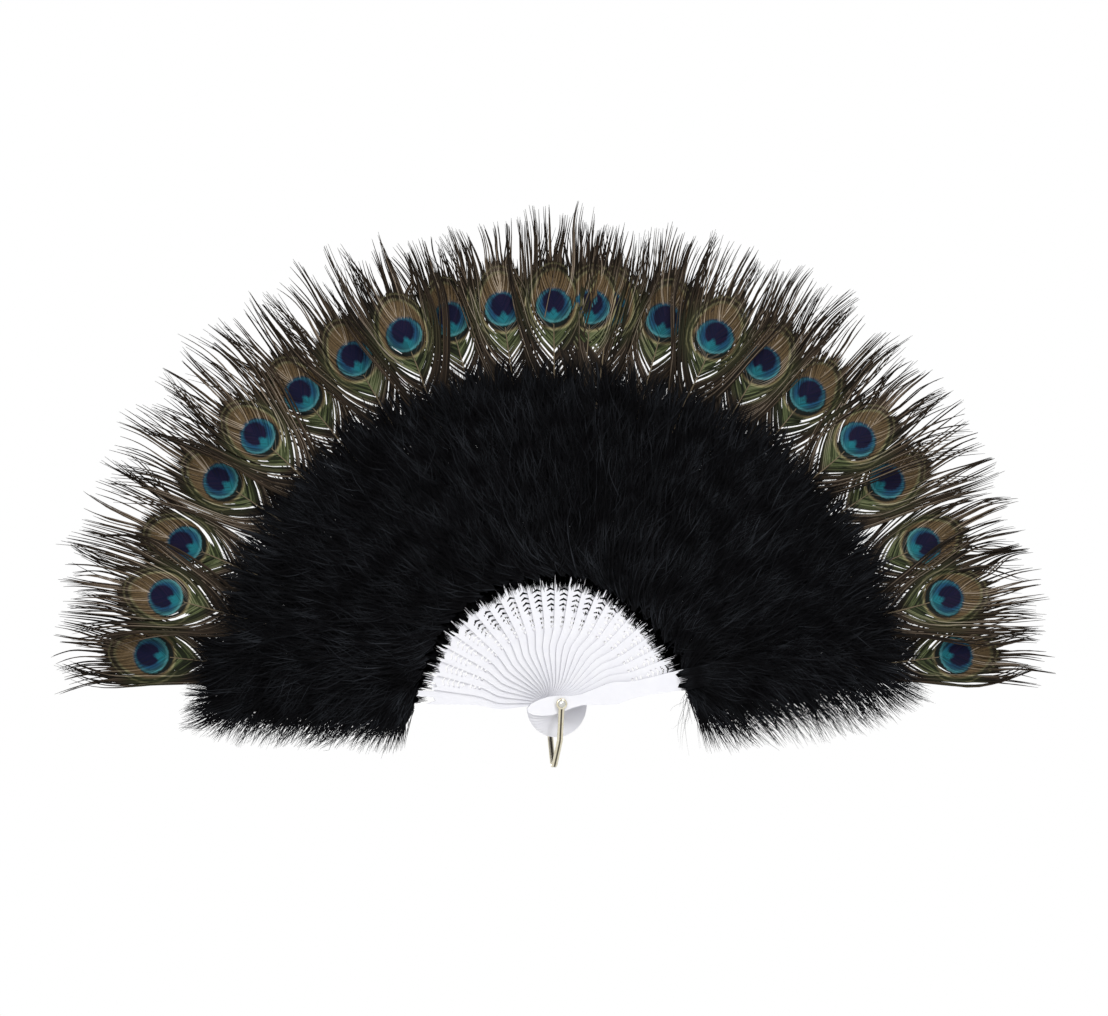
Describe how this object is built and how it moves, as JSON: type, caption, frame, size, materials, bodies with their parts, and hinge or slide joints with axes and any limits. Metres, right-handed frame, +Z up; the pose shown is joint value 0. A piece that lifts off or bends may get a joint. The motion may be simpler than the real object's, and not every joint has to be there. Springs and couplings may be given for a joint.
{
  "type": "folding feather fan",
  "caption": "Folding hand fan with pierced plastic sticks on a rivet, black down tufts, peacock eye feathers and a wire bail.",
  "frame": {"origin": "on the rivet axis, midway through the stack of sticks", "axes": "+Z up along the closed fan, -Y out of the face that the picture shows, +X to the right of that view"},
  "size_m": [0.5566, 0.0578, 0.3161],
  "materials": {
    "stick_plastic": "satin",
    "marabou": "matte",
    "peacock_barbs": "satin",
    "rivet_metal": "polished",
    "pale_gold_wire": "polished"
  },
  "bodies": {
    "centre_blade": {"stick_12": "stick_plastic", "plume_12": "marabou", "rivet_pin": "rivet_metal", "rivet_cap": "rivet_metal"},
    "front_blade": {"front_guard": "stick_plastic", "front_plume": "marabou"},
    "blade_01": {"stick_01": "stick_plastic", "plume_01": "marabou"},
    "blade_02": {"stick_02": "stick_plastic", "plume_02": "marabou"},
    "blade_03": {"stick_03": "stick_plastic", "plume_03": "marabou"},
    "blade_04": {"stick_04": "stick_plastic", "plume_04": "marabou"},
    "blade_05": {"stick_05": "stick_plastic", "plume_05": "marabou"},
    "blade_06": {"stick_06": "stick_plastic", "plume_06": "marabou"},
    "blade_07": {"stick_07": "stick_plastic", "plume_07": "marabou"},
    "blade_08": {"stick_08": "stick_plastic", "plume_08": "marabou"},
    "blade_09": {"stick_09": "stick_plastic", "plume_09": "marabou"},
    "blade_10": {"stick_10": "stick_plastic", "plume_10": "marabou"},
    "blade_11": {"stick_11": "stick_plastic", "plume_11": "marabou"},
    "blade_13": {"stick_13": "stick_plastic", "plume_13": "marabou"},
    "blade_14": {"stick_14": "stick_plastic", "plume_14": "marabou"},
    "blade_15": {"stick_15": "stick_plastic", "plume_15": "marabou"},
    "blade_16": {"stick_16": "stick_plastic", "plume_16": "marabou"},
    "blade_17": {"stick_17": "stick_plastic", "plume_17": "marabou"},
    "blade_18": {"stick_18": "stick_plastic", "plume_18": "marabou"},
    "blade_19": {"stick_19": "stick_plastic", "plume_19": "marabou"},
    "blade_20": {"stick_20": "stick_plastic", "plume_20": "marabou"},
    "blade_21": {"stick_21": "stick_plastic", "plume_21": "marabou"},
    "blade_22": {"stick_22": "stick_plastic", "plume_22": "marabou"},
    "blade_23": {"stick_23": "stick_plastic", "plume_23": "marabou"},
    "rear_blade": {"rear_guard": "stick_plastic", "rear_plume": "marabou"},
    "bail": {"bail": "pale_gold_wire"}
  },
  "joints": [
    {"name": "rear_fold", "type": "hinge", "parent": "centre_blade", "child": "rear_blade", "pos_m": [0, 0, 0], "axis": [0, 1, 0], "range_deg": [0, 82.8]},
    {"name": "front_fold", "type": "hinge", "parent": "centre_blade", "child": "front_blade", "pos_m": [0, 0, 0], "axis": [0, 1, 0], "range_deg": [-82.81, 0]},
    {"name": "fold_01", "type": "hinge", "parent": "centre_blade", "child": "blade_01", "pos_m": [0, 0, 0], "axis": [0, 1, 0], "range_deg": [-75.91, 0]},
    {"name": "fold_02", "type": "hinge", "parent": "centre_blade", "child": "blade_02", "pos_m": [0, 0, 0], "axis": [0, 1, 0], "range_deg": [-69.01, 0]},
    {"name": "fold_03", "type": "hinge", "parent": "centre_blade", "child": "blade_03", "pos_m": [0, 0, 0], "axis": [0, 1, 0], "range_deg": [-62.11, 0]},
    {"name": "fold_04", "type": "hinge", "parent": "centre_blade", "child": "blade_04", "pos_m": [0, 0, 0], "axis": [0, 1, 0], "range_deg": [-55.21, 0]},
    {"name": "fold_05", "type": "hinge", "parent": "centre_blade", "child": "blade_05", "pos_m": [0, 0, 0], "axis": [0, 1, 0], "range_deg": [-48.31, 0]},
    {"name": "fold_06", "type": "hinge", "parent": "centre_blade", "child": "blade_06", "pos_m": [0, 0, 0], "axis": [0, 1, 0], "range_deg": [-41.41, 0]},
    {"name": "fold_07", "type": "hinge", "parent": "centre_blade", "child": "blade_07", "pos_m": [0, 0, 0], "axis": [0, 1, 0], "range_deg": [-34.51, 0]},
    {"name": "fold_08", "type": "hinge", "parent": "centre_blade", "child": "blade_08", "pos_m": [0, 0, 0], "axis": [0, 1, 0], "range_deg": [-27.61, 0]},
    {"name": "fold_09", "type": "hinge", "parent": "centre_blade", "child": "blade_09", "pos_m": [0, 0, 0], "axis": [0, 1, 0], "range_deg": [-20.71, 0]},
    {"name": "fold_10", "type": "hinge", "parent": "centre_blade", "child": "blade_10", "pos_m": [0, 0, 0], "axis": [0, 1, 0], "range_deg": [-13.81, 0]},
    {"name": "fold_11", "type": "hinge", "parent": "centre_blade", "child": "blade_11", "pos_m": [0, 0, 0], "axis": [0, 1, 0], "range_deg": [-6.91, 0]},
    {"name": "fold_13", "type": "hinge", "parent": "centre_blade", "child": "blade_13", "pos_m": [0, 0, 0], "axis": [0, 1, 0], "range_deg": [0, 6.91]},
    {"name": "fold_14", "type": "hinge", "parent": "centre_blade", "child": "blade_14", "pos_m": [0, 0, 0], "axis": [0, 1, 0], "range_deg": [0, 13.81]},
    {"name": "fold_15", "type": "hinge", "parent": "centre_blade", "child": "blade_15", "pos_m": [0, 0, 0], "axis": [0, 1, 0], "range_deg": [0, 20.71]},
    {"name": "fold_16", "type": "hinge", "parent": "centre_blade", "child": "blade_16", "pos_m": [0, 0, 0], "axis": [0, 1, 0], "range_deg": [0, 27.61]},
    {"name": "fold_17", "type": "hinge", "parent": "centre_blade", "child": "blade_17", "pos_m": [0, 0, 0], "axis": [0, 1, 0], "range_deg": [0, 34.51]},
    {"name": "fold_18", "type": "hinge", "parent": "centre_blade", "child": "blade_18", "pos_m": [0, 0, 0], "axis": [0, 1, 0], "range_deg": [0, 41.41]},
    {"name": "fold_19", "type": "hinge", "parent": "centre_blade", "child": "blade_19", "pos_m": [0, 0, 0], "axis": [0, 1, 0], "range_deg": [0, 48.31]},
    {"name": "fold_20", "type": "hinge", "parent": "centre_blade", "child": "blade_20", "pos_m": [0, 0, 0], "axis": [0, 1, 0], "range_deg": [0, 55.21]},
    {"name": "fold_21", "type": "hinge", "parent": "centre_blade", "child": "blade_21", "pos_m": [0, 0, 0], "axis": [0, 1, 0], "range_deg": [0, 62.11]},
    {"name": "fold_22", "type": "hinge", "parent": "centre_blade", "child": "blade_22", "pos_m": [0, 0, 0], "axis": [0, 1, 0], "range_deg": [0, 69.01]},
    {"name": "fold_23", "type": "hinge", "parent": "centre_blade", "child": "blade_23", "pos_m": [0, 0, 0], "axis": [0, 1, 0], "range_deg": [0, 75.91]},
    {"name": "bail_swing", "type": "hinge", "parent": "centre_blade", "child": "bail", "pos_m": [0, 0, 0], "axis": [0, 1, 0], "range_deg": [-82, 70]}
  ],
  "couplings": [
    {"joint": "front_fold", "follows": "rear_fold", "ratio": -1},
    {"joint": "fold_01", "follows": "rear_fold", "ratio": -0.91667},
    {"joint": "fold_02", "follows": "rear_fold", "ratio": -0.83333},
    {"joint": "fold_03", "follows": "rear_fold", "ratio": -0.75},
    {"joint": "fold_04", "follows": "rear_fold", "ratio": -0.66667},
    {"joint": "fold_05", "follows": "rear_fold", "ratio": -0.58333},
    {"joint": "fold_06", "follows": "rear_fold", "ratio": -0.5},
    {"joint": "fold_07", "follows": "rear_fold", "ratio": -0.41667},
    {"joint": "fold_08", "follows": "rear_fold", "ratio": -0.33333},
    {"joint": "fold_09", "follows": "rear_fold", "ratio": -0.25},
    {"joint": "fold_10", "follows": "rear_fold", "ratio": -0.16667},
    {"joint": "fold_11", "follows": "rear_fold", "ratio": -0.083333},
    {"joint": "fold_13", "follows": "rear_fold", "ratio": 0.083333},
    {"joint": "fold_14", "follows": "rear_fold", "ratio": 0.16667},
    {"joint": "fold_15", "follows": "rear_fold", "ratio": 0.25},
    {"joint": "fold_16", "follows": "rear_fold", "ratio": 0.33333},
    {"joint": "fold_17", "follows": "rear_fold", "ratio": 0.41667},
    {"joint": "fold_18", "follows": "rear_fold", "ratio": 0.5},
    {"joint": "fold_19", "follows": "rear_fold", "ratio": 0.58333},
    {"joint": "fold_20", "follows": "rear_fold", "ratio": 0.66667},
    {"joint": "fold_21", "follows": "rear_fold", "ratio": 0.75},
    {"joint": "fold_22", "follows": "rear_fold", "ratio": 0.83333},
    {"joint": "fold_23", "follows": "rear_fold", "ratio": 0.91667}
  ]
}
